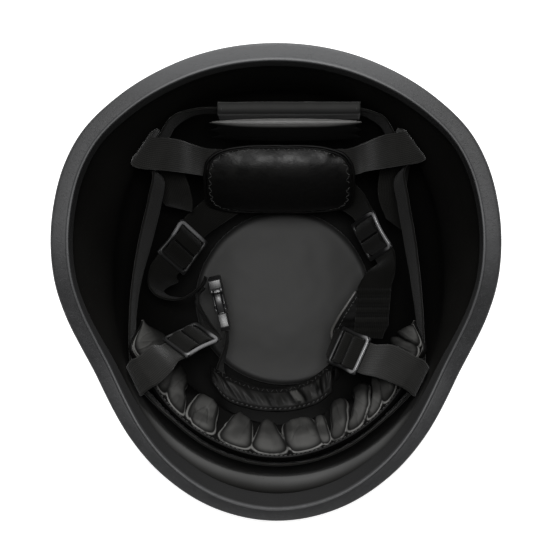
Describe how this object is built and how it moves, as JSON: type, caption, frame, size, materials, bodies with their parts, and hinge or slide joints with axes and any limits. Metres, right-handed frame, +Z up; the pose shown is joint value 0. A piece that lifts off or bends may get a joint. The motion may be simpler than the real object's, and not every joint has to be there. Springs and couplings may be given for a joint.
{
  "type": "combat helmet",
  "caption": "Black combat helmet lying on its crown, with rubber edge trim, webbing suspension, gathered sweatband, pads, chin harness with slides, buckle and chin cup.",
  "frame": {"origin": "on the floor under the middle of the bounding box, at the height of the crown's rest face", "axes": "+Z up, out of the head opening; +Y towards the nape; -Y towards the brow; +X the wearer's right ear"},
  "size_m": [0.2574, 0.2748, 0.1731],
  "materials": {
    "shell_paint": "fine textured matt black paint on a moulded composite shell",
    "rubber": "matt extruded rubber",
    "bolt_metal": "black coated",
    "webbing": "woven nylon tape",
    "leatherette": "gathered glossy black coated leather",
    "pad_face": "smooth satin cover on foam",
    "flap_cloth": "coated cloth",
    "hard_plastic": "moulded black"
  },
  "bodies": {
    "root": {"shell": "shell_paint", "edge_trim": "rubber", "bolt_rear_right": "bolt_metal", "bolt_rear_left": "bolt_metal", "bolt_front_right": "bolt_metal", "bolt_front_left": "bolt_metal", "suspension_ring": "webbing", "sweatband": "leatherette", "crown_pad": "pad_face", "nape_pad": "leatherette", "back_pad": "leatherette", "back_flap": "flap_cloth", "nape_strap_right": "webbing", "nape_strap_left": "webbing", "rear_strap_right": "webbing", "rear_strap_left": "webbing", "hanger_right": "webbing", "hanger_left": "webbing", "front_strap_right": "webbing", "front_strap_left": "webbing", "slide_rear_left": "hard_plastic", "slide_rear_right": "hard_plastic", "slide_front_left": "hard_plastic", "slide_front_right": "hard_plastic", "buckle_socket": "hard_plastic", "buckle_plug": "hard_plastic", "chin_strap_left": "webbing", "chin_cup": "leatherette", "cheek_tab": "leatherette"}
  },
  "joints": []
}
